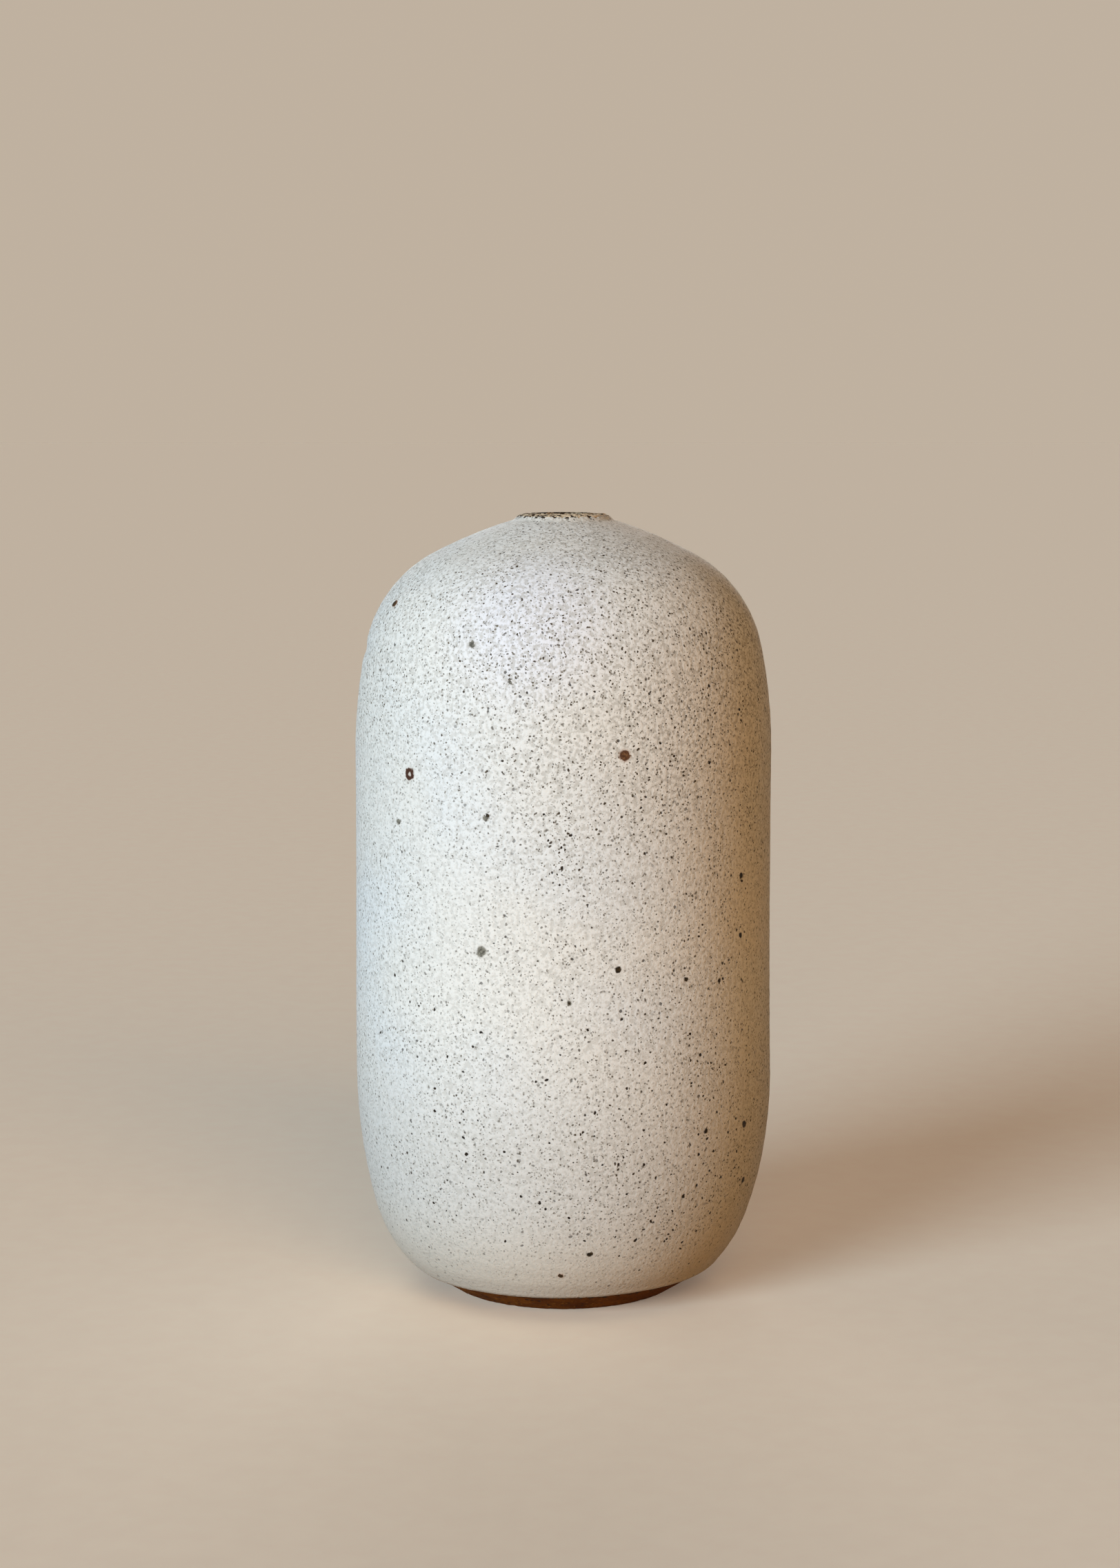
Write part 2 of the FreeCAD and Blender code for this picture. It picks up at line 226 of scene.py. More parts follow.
RING_PITCH = 4.4                            # throwing rings: rise of the fingers in each turn
RING_SIZE = 0.018
RELIEF_FADE = 5.0                           # the unevenness fades out over this at both ends
HEEL_BULGE = 0.30                           # the heel is fuller on the left,
HEEL_BULGE_S = 4.5                          # most of all at this s,
HEEL_FLAT = 0.3                             # and flatter on the right, round the next s
HEEL_FLAT_S = 15.0
HEEL_FLAT_REACH = 6.5
SCAR_ANGLE = math.radians(187)              # a pinched place on the left of the shoulder
SCAR_WIDTH = 0.24                           # in radians round the axis
SCAR_S = OUTLINE.at_height(138.2) + 0.5
SCAR_DEPTH = 0.34
SCAR_REACH = 1.6
SCAR_LIP_S = SCAR_S - 2.7                   # clay that was pushed out below it
SCAR_LIP = 0.05
SCAR_LIP_REACH = 1.2


def lumps(x, y, z, layers):
    """Layers of smooth noise, each from about minus its size to its size."""
    out = 0
    for size, pitch, seed in layers:
        places = np.stack(np.broadcast_arrays(x, y, z), -1).reshape(-1, 3) / pitch + seed
        values = np.array([noise.noise(place) for place in places.tolist()])
        out = out + size * values.reshape(np.shape(z))
    return out


def bell(value, middle, reach):
    """1 at the middle, and nearly 0 from twice the reach on."""
    return np.exp(-((value - middle) / reach) ** 2)


def share_right(theta):
    """0 at the left of the vase, seen from the front, and 1 at the right."""
    return (1 + np.cos(theta)) / 2


def relief(theta, s):
    """How far the hand-made surface stands over the even outline, the same for clay and glaze."""
    radius, height = OUTLINE.place(s)
    x, y = radius * np.cos(theta), radius * np.sin(theta)
    z = height + 0 * theta
    out = lumps(x, y, z, WALL_LUMPS)
    rings = np.cos(TURN * s / RING_PITCH + theta)
    out += RING_SIZE * rings * (1 + lumps(x, y, z, RING_PATCHES))
    off = (theta - SCAR_ANGLE + math.pi) % TURN - math.pi
    scar = bell(off, 0.0, SCAR_WIDTH)
    out -= SCAR_DEPTH * scar * bell(s, SCAR_S, SCAR_REACH)
    out += SCAR_LIP * scar * bell(s, SCAR_LIP_S, SCAR_LIP_REACH)

    right = share_right(theta)
    low = np.clip(s, 0, None) / HEEL_BULGE_S
    heel = HEEL_BULGE * (1 - right) * low * np.exp(1 - low)
    heel -= HEEL_FLAT * right * bell(s, HEEL_FLAT_S, HEEL_FLAT_REACH)
    return out * np.clip(OUTLINE.to_ends(s) / RELIEF_FADE, 0, 1) + heel


# ---------------------------------------------------------------- meshes
COLUMNS = 384
SUNK = 0.1                                  # the back of a glaze coat lies this deep in the clay
HIDDEN_SHARE = 0.06                         # the bake map's share for the back of the outside
                                            # coat, beside its front
HIDDEN_WEIGHT = 0.04                        # the bake map's weight for clay that nobody sees

EDGE_ROUND = 0.6                            # how far back the glaze reaches its full thickness
EDGE_BEAD = 0.08                            # glaze that gathers behind its lower edge
BEAD_S = 1.3
BEAD_REACH = 0.7
LOW_EDGE_RISE = 0.8                         # the lower edge is higher on the right,
LOW_EDGE_DROP = 0.7                         # lower on the left
LOW_EDGE_HANG = 0.3                         # and a little under its line all round
LOW_EDGE_REACH = 3.0                        # how far up the wall the shift is felt
HIGH_EDGE_HANG = 0.46                       # the upper edge stops this far below the lip
HIGH_EDGE_REACH = 1.2
BITE_START = 0.10                           # noise above this bares the rim
BITE_SLOPE = 1.5
BITE_SIZE = 0.35

WORN_INSET = 1.5                            # the rim's outer edge is rubbed rounder than the solid's
WORN_ROUND = 3.0
LIP_ROUND = 0.15
LIP_RISE = 0.2                              # the rim's outer edge is this far above the glaze
FOOT_GRIT = 0.05
RIM_GRIT = 0.12
BARE_REACH = 3.0                            # the clay is gritty this far in under the glaze
PIT_START = 0.3                             # noise above this is a pit
PIT_DEPTH = 5.0                             # depth of a pit beside the size of the grit
LINER_EDGE_ROUND = 0.12                     # how far the liner's upper edge swells out


def around(columns):
    return np.arange(columns)[None, :] * TURN / columns


def make_skin(name, radius, height, weight, poles):
    """A closed mesh from grids of radius and height, rows by columns.

    weight is each row's share of the bake map.  Where poles is true the first and last rows
    close on the axis, and otherwise the last row joins the first.
    """
    rows, columns = radius.shape
    theta = around(columns)
    verts = np.stack([radius * np.cos(theta), radius * np.sin(theta), height], -1).reshape(-1, 3)
    v = np.concatenate([[0], np.cumsum(weight)])
    v = v / v[-1]
    first_v = 1 if poles else 0             # v[first_v] belongs to the first row
    j = np.arange(columns)
    n = (j + 1) % columns
    u, u_next = j / columns, (j + 1) / columns
    faces, places = [], []
    for row in range(rows - 1 if poles else rows):
        low, high = row * columns, (row + 1) % rows * columns
        faces += np.stack([low + j, low + n, high + n, high + j], -1).tolist()
        v_low, v_high = v[row + first_v], v[row + first_v + 1]
        places.append(np.stack([u, v_low + 0 * u, u_next, v_low + 0 * u,
                                u_next, v_high + 0 * u, u, v_high + 0 * u], -1).ravel())
    if poles:
        ends = [[0, 0, height[0].mean()], [0, 0, height[-1].mean()]]
        verts = np.concatenate([verts, ends])
        tip, last = rows * columns, (rows - 1) * columns
        middle = (u + u_next) / 2
        faces += np.stack([tip + 0 * j, n, j], -1).tolist()
        places.append(np.stack([middle, 0 * u, u_next, v[1] + 0 * u, u, v[1] + 0 * u], -1).ravel())
        faces += np.stack([last + j, last + n, tip + 1 + 0 * j], -1).tolist()
        places.append(np.stack([u, v[-2] + 0 * u, u_next, v[-2] + 0 * u,
                                middle, 1 + 0 * u], -1).ravel())
    mesh = bpy.data.meshes.new(name)
    mesh.from_pydata((verts * MM).tolist(), [], faces)
    layer = mesh.uv_layers.new(name="OFBake")
    layer.uv.foreach_set("vector", np.concatenate(places).astype(np.float32))
    mesh.polygons.foreach_set("use_smooth", [True] * len(mesh.polygons))
    piece = bpy.data.objects.new(name, mesh)
    bpy.context.scene.collection.objects.link(piece)
    return piece


def graded(length, fine, coarse, low_reach, high_reach):
    """Places from 0 to length, with fine steps at both ends and coarse ones between."""
    out = [0.0]
    while out[-1] < length:
        blend = min(1.0, out[-1] / low_reach, abs(length - out[-1]) / high_reach)
        out.append(out[-1] + fine + (coarse - fine) * blend)
    return np.array(out)[:, None] * length / out[-1]


def glaze_edges(theta):
    """How far the lower and the upper edge of the glaze wander from their lines."""
    x, y = BODY_R * np.cos(theta), BODY_R * np.sin(theta)
    z = 0 * theta
    right = share_right(theta)
    low = LOW_EDGE_RISE * right ** 2 - LOW_EDGE_DROP * (1 - right) ** 2 - LOW_EDGE_HANG
    low += lumps(x, y, z, LOW_EDGE_LUMPS)
    bites = np.clip(lumps(x, y, z, HIGH_EDGE_BITES) - BITE_START, 0, None)
    high = lumps(x, y, z, HIGH_EDGE_LUMPS) + np.clip(BITE_SLOPE * bites, 0, BITE_SIZE) - HIGH_EDGE_HANG
    return low, high


def make_glaze():
    theta = around(COLUMNS)
    low, high = glaze_edges(theta)
    length = OUTLINE.length

    def shifted(s):
        from_low, from_high = s / LOW_EDGE_REACH, (length - s) / HIGH_EDGE_REACH
        return s + low * np.exp(-from_low) - high * np.exp(-from_high)

    front = graded(length, fine=0.13, coarse=1.05, low_reach=16.0, high_reach=9.0)
    back = graded(length, fine=0.5, coarse=9.0, low_reach=16.0, high_reach=16.0)[-2:0:-1]
    edge = np.clip(OUTLINE.to_ends(front) / EDGE_ROUND, 0, 1)
    buried = GLAZE + SUNK
    depth = buried * (1 - np.sqrt(1 - (1 - edge) ** 2))
    bead = EDGE_BEAD * bell(front, BEAD_S, BEAD_REACH) * edge
    front_depth = depth - bead - relief(theta, shifted(front))
    back_depth = buried - relief(theta, shifted(back))
    outer = OUTLINE.place(shifted(front), front_depth)
    inner = OUTLINE.place(shifted(back), back_depth)
    radius, height = [np.concatenate(pair) for pair in zip(outer, inner)]
    steps = np.diff(front[:, 0])
    hidden = np.full(len(back) + 1, HIDDEN_SHARE * length / (len(back) + 1))
    return make_skin("glaze_coat", radius, height, np.concatenate([steps, hidden]), poles=False)


def gritty(radius, height, size):
    """Moves the rows of a section in and out as coarse clay; size is one number for each row."""
    theta = around(radius.shape[1])
    along_r, along_z = np.gradient(radius, axis=0), np.gradient(height, axis=0)
    x, y = radius * np.cos(theta), radius * np.sin(theta)
    bumps = lumps(x, y, height, GRIT_LUMPS) - 1
    pits = np.clip(lumps(x, y, height, GRIT_PITS) - PIT_START, 0, None)
    move = size[:, None] * (bumps - PIT_DEPTH * pits) / np.hypot(along_r, along_z)
    return radius + move * along_z, np.clip(height - move * along_r, 0, HEIGHT)


def turned(points):
    """Even rows from the points of a section."""
    grid = np.repeat(np.array(points)[:, :, None], COLUMNS, axis=2)
    return grid[:, 0], grid[:, 1]


def foot_section():
    """The underside, from beside the middle of the recess to the lower edge of the glaze."""
    middle = np.array([0.0, RECESS_DEPTH])
    recess_top = np.array([RECESS_TOP_R, RECESS_DEPTH])
    recess = np.array([RECESS_R, 0.0])
    foot = np.array([FOOT_R, 0.0])
    low = np.array(OUTLINE.place(0.0, GLAZE))
    under = rounded(middle, recess_top, recess, FOOT_ROUND)
    under += rounded(recess_top, recess, foot, FOOT_ROUND)
    under += rounded(recess, foot, low, FOOT_ROUND)
    return spaced([middle] + under + [low], step=0.55)[1:]


def rim_section(inside):
    """The bare rim, from the upper edge of the glaze to the first points of the inside."""
    high = np.array(OUTLINE.place(OUTLINE.length, GLAZE))
    lip = np.array([LIP_R, LIP_Z + LIP_RISE])
    face = np.array([LIP_R - WORN_INSET, HEIGHT])
    mouth = np.array([MOUTH_R, HEIGHT])
    rim = rounded(high, lip, face, LIP_ROUND) + rounded(lip, face, mouth, WORN_ROUND)
    rim += rounded(face, mouth, inside[0], RIM_ROUND)
    rim += rounded(mouth, inside[0], inside[1], THROAT_ROUND)
    return spaced([high] + rim, step=0.3)


def make_clay():
    inside = hollow(CAVITY, MOUTH_R, INNER_CORNER, FLOOR_Z, step=4.0)
    under = foot_section()
    rim = rim_section(inside)
    inside = inside[2:-1]
    side = graded(OUTLINE.length, fine=0.25, coarse=4.5, low_reach=12.0, high_reach=10.0)[1:-1]

    grids = [turned(under),
             OUTLINE.place(side, GLAZE - relief(around(COLUMNS), side)),
             turned(rim),
             turned(inside)]
    radius, height = [np.concatenate(part) for part in zip(*grids)]
    bare = 1 - np.clip(OUTLINE.to_ends(side[:, 0]) / BARE_REACH, 0, 1)
    rough = np.concatenate([np.full(len(under), FOOT_GRIT), FOOT_GRIT * bare,
                            np.full(len(rim), RIM_GRIT), np.zeros(len(inside))])
    radius, height = gritty(radius, height, rough)
    steps = np.hypot(np.diff(radius[:, 0]), np.diff(height[:, 0]))
    shown = np.where(rough[1:] > 0, 1.0, HIDDEN_WEIGHT)
    weight = np.concatenate([[0.5], steps * shown, [0.1]])      # with the discs under and inside
    return make_skin("clay_body", radius, height, weight, poles=True)


def make_liner():
    back = hollow(CAVITY - SUNK, LINER_EDGE_R, INNER_CORNER + SUNK, FLOOR_Z - SUNK, step=3.0)
    front = hollow(CAVITY + LINER, LINER_EDGE_R, INNER_CORNER - LINER, FLOOR_Z + LINER, step=1.5)
    edge = (back[0] + front[0]) / 2 - np.array([LINER_EDGE_ROUND, 0.0])
    radius, height = turned(back[-2::-1] + [edge] + front[:-1])
    buried, shown = 0.1, 1.0
    weight = np.concatenate([np.full(len(back) - 1, buried), np.full(len(front) + 1, shown)])
    return make_skin("liner_coat", radius, height, weight, poles=True)


# ---------------------------------------------------------------- materials
class Paint:
    """A material whose nodes work in millimetres on the object."""

    FAINTNESS = 1.6                         # power that leaves most specks faint
    SMALLEST = 0.55                         # smallest speck beside the largest

    def __init__(self, name):
        self.material = bpy.data.materials.new(name)
        self.material.use_nodes = True
        self.tree = self.material.node_tree
        self.shader = self.tree.nodes["Principled BSDF"]
        at = self.add("ShaderNodeTexCoord").outputs["Object"]
        self.at = self.add("ShaderNodeVectorMath", {0: at, "Scale": 1 / MM},
                           operation="SCALE").outputs[0]

    def feed(self, socket, value):
        """Gives a socket its value, or links it to the socket that feeds it."""
        if isinstance(value, bpy.types.NodeSocket):
            self.tree.links.new(value, socket)
        else:
            socket.default_value = value

    def add(self, kind, inputs=(), **settings):
        """A node; inputs give each socket a value, or the socket that feeds it."""
        node = self.tree.nodes.new(kind)
        for name, value in settings.items():
            setattr(node, name, value)
        for name, value in dict(inputs).items():
            self.feed(node.inputs[name], value)
        return node

    def math(self, operation, first, second=0.0):
        return self.add("ShaderNodeMath", {0: first, 1: second}, operation=operation).outputs[0]

    def times(self, first, second):
        return self.math("MULTIPLY", first, second)

    def axes(self):
        """The place's X, Y and Z."""
        return self.add("ShaderNodeSeparateXYZ", {0: self.at}).outputs

    def fade(self, value, start, end, low=0.0, high=1.0):
        """Goes smoothly from low at start to high at end."""
        return self.add("ShaderNodeMapRange",
                        {"Value": value, 1: start, 2: end, 3: low, 4: high},
                        interpolation_type="SMOOTHSTEP").outputs[0]

    def noise(self, pitch, detail=2.0, roughness=0.5, at=None, output="Fac"):
        """Smooth noise round a half, one value or a colour of three."""
        return self.add("ShaderNodeTexNoise",
                        {"Vector": at or self.at, "Scale": 1 / pitch, "Detail": detail,
                         "Roughness": roughness}).outputs[output]

    def shaken(self, pitch, reach, at=None):
        """The place, moved a little at random, so that round marks turn out ragged."""
        shift = self.add("ShaderNodeVectorMath",
                         {0: self.noise(pitch, output="Color"), 1: (0.5, 0.5, 0.5)},
                         operation="SUBTRACT").outputs[0]
        return self.add("ShaderNodeVectorMath", {0: shift, 1: (2 * reach,) * 3, 2: at or self.at},
                        operation="MULTIPLY_ADD").outputs[0]

    def mix(self, factor, first, second):
        """Colour from first to second."""
        node = self.add("ShaderNodeMix", {0: factor}, data_type="RGBA")
        for socket, colour in ((node.inputs[6], first), (node.inputs[7], second)):
            self.feed(socket, (*colour, 1.0) if isinstance(colour, tuple) else colour)
        return node.outputs[2]

    def specks(self, at, pitch, size, softness=0.4):
        """Marks strewn through space, most of them faint; size is half a width in millimetres."""
        cells = self.add("ShaderNodeTexVoronoi", {"Vector": at, "Scale": 1 / pitch})
        chance = self.add("ShaderNodeSeparateColor", {0: cells.outputs["Color"]})
        reach = self.fade(chance.outputs[0], 0, 1, self.SMALLEST * size / pitch, size / pitch)
        depth = self.math("DIVIDE", cells.outputs["Distance"], reach)
        strength = self.math("POWER", chance.outputs[1], self.FAINTNESS)
        return self.times(self.fade(depth, 1.0, 1.0 - softness), strength)

    def nearest(self, at, spots):
        """Distance to the nearest spot, counted in that spot's half width."""
        found = None
        for azimuth, height, size in spots:
            away = self.add("ShaderNodeVectorMath", {0: at, 1: on_surface(azimuth, height)},
                            operation="DISTANCE").outputs["Value"]
            here = self.math("DIVIDE", away, size)
            found = here if found is None else self.math("MINIMUM", found, here)
        return found

    def finish(self, colour, roughness, height=None, depth=0.0):
        """Sets colour and roughness, and bump of a depth in millimetres."""
        self.feed(self.shader.inputs["Base Color"], colour)
        self.feed(self.shader.inputs["Roughness"], roughness)
        if height is not None:
            bump = self.add("ShaderNodeBump", {"Height": height, "Distance": depth * MM})
            self.feed(self.shader.inputs["Normal"], bump.outputs[0])
        return self.material


def on_surface(azimuth, height):
    """A place on the glaze; azimuth is in degrees from the front, to the right."""
    radius = float(OUTLINE.place(OUTLINE.at_height(height))[0])
    angle = math.radians(azimuth - 90)
    return (radius * math.cos(angle), radius * math.sin(angle), height)


# The outside coat, and its bands of painted shade and warm floor light: heights where a change begins
# and ends, and the colour after it
COAT_COOL = (0.80, 0.815, 0.82)
COAT_WARM = (0.82, 0.805, 0.77)
COAT_SHADE_BANDS = [(72.0, 30.0, (0.68, 0.665, 0.64)),
              (30.0, 6.0, (0.62, 0.56, 0.48)),
              (LIP_Z - 1.6, LIP_Z, (0.69, 0.67, 0.63))]
# painted reflection: cool light from above, painted as a blue-tinted patch on the front of the
# shoulder
SKY_REFLECTION_TINT = (0.80, 0.82, 0.90)
COAT_VALLEY = (0.43, 0.41, 0.37)            # between the lumps of the pebbled skin
COAT_DEPTH = 0.14                           # relief of the pebbled skin

# Small specks: pitch and half width in millimetres, and colour
SPECKS = [(0.60, 0.27, (0.15, 0.13, 0.10)),
          (0.84, 0.32, (0.055, 0.040, 0.026)),
          (1.65, 0.40, (0.016, 0.010, 0.006))]
# and how many show along an axis: where a change begins and ends, and the shares before and after
SPECK_SHARES = [("Z", GLAZE_LINE_Z, 27.0, 0.3, 1.0),
                ("X", -BODY_R, BODY_R, 0.82, 1.28),
                ("Z", 150.0, 164.0, 1.0, 0.85)]
FINE_SHARE = (90.0, 135.0, 1.0, 1.32)       # the two finer kinds are denser on the shoulder
BOLD_SHARE = (90.0, 40.0, 1.0, 1.7)         # and the boldest kind low down

# Large iron spots: azimuth in degrees from the front, height and half width in millimetres
RUST_SPOTS = [(-66.5, 149.1, 0.9), (16, 120.2, 1.14), (-1, 11.4, 0.55), (160, 95, 1.1)]
RING_SPOTS = [(-45, 115.2, 1.15)]
DARK_SPOTS = [(-67.2, 149.0, 0.74), (-20.2, 107.9, 0.45), (14.2, 76.6, 0.68), (7.6, 16.4, 0.62),
              (-1, 11.4, 0.44), (56, 93.1, 0.72), (56.4, 92.0, 0.42), (55.6, 80.5, 0.62),
              (46, 72, 0.55), (34, 73.5, 0.55), (58, 40, 0.9), (41, 41, 0.6), (62, 27, 0.8),
              (35, 27.5, 0.5), (1.4, 70, 0.32), (150, 60, 0.9), (-140, 70, 0.8),
              (110, 132, 0.8), (-105, 30, 0.7)]
GREY_SPOTS = [(-26.5, 142.2, 0.8), (-14.6, 134.9, 0.5), (-22, 80, 1.1), (1.4, 70, 0.62),
              (-20.8, 107.3, 0.6), (-49.6, 105, 0.62), (-170, 125, 0.9)]
# not an iron spot: where the painted reflection of cool light from above lies, by azimuth, height and
# half width
SKY_REFLECTION_PATCH = [(-10, 147, 24)]

# Their colours; of two, the first is for the darker parts of a spot
WARM_HALO = (0.50, 0.34, 0.25)
DULL_HALO = (0.42, 0.37, 0.31)
RUST_EDGE = (0.10, 0.043, 0.022)
RUST = ((0.085, 0.036, 0.018), (0.19, 0.092, 0.042))
RING_BAND = (0.055, 0.022, 0.013)
GREY = ((0.072, 0.065, 0.050), (0.20, 0.19, 0.15))
DARK = ((0.008, 0.005, 0.002), (0.040, 0.026, 0.011))

THIN_COAT = (0.33, 0.23, 0.13)              # where the toasted clay shows through
# painted shadow: the dark inside of small pits along the glaze's upper edge
COAT_PIT_SHADOW = (0.02, 0.012, 0.007)
PIT_SQUASH = (1.0, 1.0, 0.3)                # draws the pits out upwards

# Bare clay, each lightly and deeply toasted; the foot's is painted far darker than the rim's, partly
# as shade low down by the floor
FOOT_CLAY_AND_SHADE = ((0.20, 0.062, 0.006), (0.095, 0.024, 0.002))
RIM_CLAY = ((0.80, 0.67, 0.50), (0.60, 0.46, 0.31))
FOOT_SAND_AND_SHADE = (0.40, 0.19, 0.03)
RIM_SAND = (0.55, 0.37, 0.19)
IRON = (0.018, 0.010, 0.007)
# dark pits, and painted shade just under the glaze's lower edge
CLAY_PIT_AND_SHADE = (0.03, 0.018, 0.011)
# painted shade inside the mouth
THROAT_SHADE = (0.045, 0.03, 0.02)

LINER_COAT = ((0.71, 0.70, 0.66), (0.63, 0.61, 0.56))
LINER_SPECK = (0.20, 0.17, 0.13)


def coat_colour(paint, z):
    """The coat shifts a little between cool and warm; painted shade and painted warm floor light make
    it darker and warmer low down, and painted shade greyer just under the lip.
    """
    colour = paint.mix(paint.fade(paint.noise(38.0), 0.35, 0.65), COAT_COOL, COAT_WARM)
    # painted shade and painted warm floor light: darker and warmer towards the foot, greyer just under
    # the lip
    for start, end, tone in COAT_SHADE_BANDS:
        colour = paint.mix(paint.fade(z, start, end), colour, tone)
    # painted reflection of cool light from above, a blue-tinted patch on the shoulder
    sky_reflection = paint.fade(paint.nearest(paint.at, SKY_REFLECTION_PATCH), 1.0, 0.2, 0.0, 0.8)
    return paint.mix(sky_reflection, colour, SKY_REFLECTION_TINT)


def speck_share(paint, place):
    """Specks show in patches, most on the right and few near the lip and the heel."""
    share = paint.fade(paint.noise(24.0, 3.0), 0.36, 0.64, 0.82, 1.1)
    for axis, *change in SPECK_SHARES:
        share = paint.times(share, paint.fade(place[axis], *change))
    return share


def add_specks(paint, colour, shares):
    """Small iron specks of three kinds, and where those of the last kind are."""
    ragged = paint.shaken(0.5, 0.2, paint.shaken(5.0, 1.0))
    for (pitch, size, tone), share in zip(SPECKS, shares):
        marks = paint.specks(ragged, pitch, size)
        colour = paint.mix(paint.times(marks, share), colour, tone)
    return colour, marks


def add_spots(paint, colour):
    """Large iron spots with faint halos; distances from a spot are counted in its half width."""
    near = paint.shaken(0.8, 0.42)
    rust, ring, dark, grey = [paint.nearest(near, spots)
                              for spots in (RUST_SPOTS, RING_SPOTS, DARK_SPOTS, GREY_SPOTS)]
    warm, dull = paint.math("MINIMUM", rust, ring), paint.math("MINIMUM", dark, grey)
    colour = paint.mix(paint.fade(warm, 1.4, 0.95, 0.0, 0.45), colour, WARM_HALO)
    colour = paint.mix(paint.fade(dull, 1.5, 0.8, 0.0, 0.3), colour, DULL_HALO)
    mottle = paint.fade(paint.noise(0.5), 0.42, 0.58)
    colour = paint.mix(paint.fade(rust, 1.1, 0.8), colour, RUST_EDGE)
    colour = paint.mix(paint.fade(rust, 0.8, 0.5), colour, paint.mix(mottle, *RUST))
    off_band = paint.math("ABSOLUTE", paint.math("SUBTRACT", ring, 0.72))
    colour = paint.mix(paint.fade(off_band, 0.50, 0.25), colour, RING_BAND)
    colour = paint.mix(paint.fade(grey, 1.15, 0.65, 0.0, 0.95), colour, paint.mix(mottle, *GREY))
    return paint.mix(paint.fade(dark, 1.15, 0.75), colour, paint.mix(mottle, *DARK))


def add_edges(paint, colour, x, z):
    """Clay shows through at both edges, and black dots of painted shadow, standing for small pits,
    line the upper one, most on the left.
    """
    thin = paint.math("MAXIMUM", paint.fade(z, GLAZE_LINE_Z + 0.7, GLAZE_LINE_Z - 0.1),
                      paint.fade(z, LIP_Z, LIP_Z + 0.5))
    wear = paint.fade(paint.noise(0.9, 3.0), 0.4, 0.65, 0.0, 0.8)
    colour = paint.mix(paint.times(thin, wear), colour, THIN_COAT)
    # painted shadow: near-black dots where small pits in the glaze's upper edge hold shade
    upright = paint.add("ShaderNodeVectorMath", {0: paint.at, 1: PIT_SQUASH},
                        operation="MULTIPLY").outputs[0]
    pits = paint.fade(paint.noise(1.1, at=upright), 0.53, 0.58)
    pits = paint.times(pits, paint.fade(x, 6.0, 1.0, 0.35, 1.0))
    pits = paint.times(pits, paint.fade(z, LIP_Z - 0.4, LIP_Z - 0.15))
    return paint.mix(pits, colour, COAT_PIT_SHADOW)


def paint_glaze():
    """Off-white coat with a pebbled skin, small specks and large iron spots."""
    paint = Paint("speckled_coat")
    place = paint.axes()
    x, z = place["X"], place["Z"]
    share = speck_share(paint, place)
    dense = paint.times(share, paint.fade(z, *FINE_SHARE))
    bold = paint.times(share, paint.fade(z, *BOLD_SHARE))

    skin = paint.noise(0.85, 3.0, 0.55)
    valley = paint.times(paint.fade(skin, 0.57, 0.38, 0.0, 0.42), dense)
    colour = paint.mix(valley, coat_colour(paint, z), COAT_VALLEY)
    colour, marks = add_specks(paint, colour, (dense, dense, bold))
    colour = add_spots(paint, colour)
    colour = add_edges(paint, colour, x, z)

    height = paint.math("SUBTRACT", skin, paint.times(marks, 0.4))
    shine = paint.fade(paint.noise(6.0), 0.3, 0.7, 0.58, 0.68)
    paint.shader.inputs["IOR"].default_value = 1.5
    paint.shader.inputs["Specular IOR Level"].default_value = 0.18
    return paint.finish(colour, shine, height, COAT_DEPTH)


def paint_clay():
    """Bare clay: brown and gritty at the foot, partly darkened as painted shade, sandy at the rim,
    with painted shade in the throat.
    """
    paint = Paint("toasted_clay")
    x, y, z = paint.axes()
    radius = paint.math("SQRT", paint.math("ADD", paint.times(x, x), paint.times(y, y)))
    ragged = paint.shaken(0.7, 0.25)
    toast = paint.fade(paint.noise(7.0, 3.0, 0.6), 0.3, 0.7)
    # from the foot's clay, darkened partly as painted shade, up to the rim's paler clay
    upper = paint.fade(z, 20.0, LIP_Z - 2.0)
    colour = paint.mix(upper, paint.mix(toast, *FOOT_CLAY_AND_SHADE), paint.mix(toast, *RIM_CLAY))
    sandy = paint.specks(ragged, 1.0, 0.45, softness=0.9)
    colour = paint.mix(paint.times(sandy, 0.8), colour, paint.mix(upper, FOOT_SAND_AND_SHADE, RIM_SAND))
    iron = paint.specks(ragged, 1.25, 0.60)
    colour = paint.mix(iron, colour, IRON)

    # dark pits at the rim, and under the lower edge of the glaze a pitted dark line that is partly
    # painted shade under the edge
    rim = paint.fade(z, LIP_Z - 4.0, LIP_Z - 1.0)
    heel = paint.times(paint.fade(z, GLAZE_LINE_Z - 1.0, GLAZE_LINE_Z - 0.4),
                       paint.fade(z, 12.0, 8.0))
    pitted = paint.fade(paint.noise(0.95), 0.50, 0.56)
    colour = paint.mix(paint.times(paint.math("MAXIMUM", rim, heel), pitted), colour, CLAY_PIT_AND_SHADE)

    # painted shade in the throat, patchy and darker on the left, where its inner wall faces away from
    # the light
    throat = paint.times(paint.fade(radius, MOUTH_R + 1.3, MOUTH_R + 0.4), rim)
    uneven_shade = paint.fade(paint.noise(1.9, 3.0, 0.6), 0.42, 0.56, 0.1, 0.95)
    uneven_shade = paint.times(uneven_shade, paint.fade(x, 3.0, -1.0, 0.3, 1.0))
    colour = paint.mix(paint.times(throat, uneven_shade), colour, THROAT_SHADE)

    height = paint.math("SUBTRACT", paint.noise(0.5, 4.0, 0.65), paint.times(iron, 0.8))
    paint.shader.inputs["Specular IOR Level"].default_value = 0.1
    return paint.finish(colour, roughness=0.9, height=height, depth=0.12)


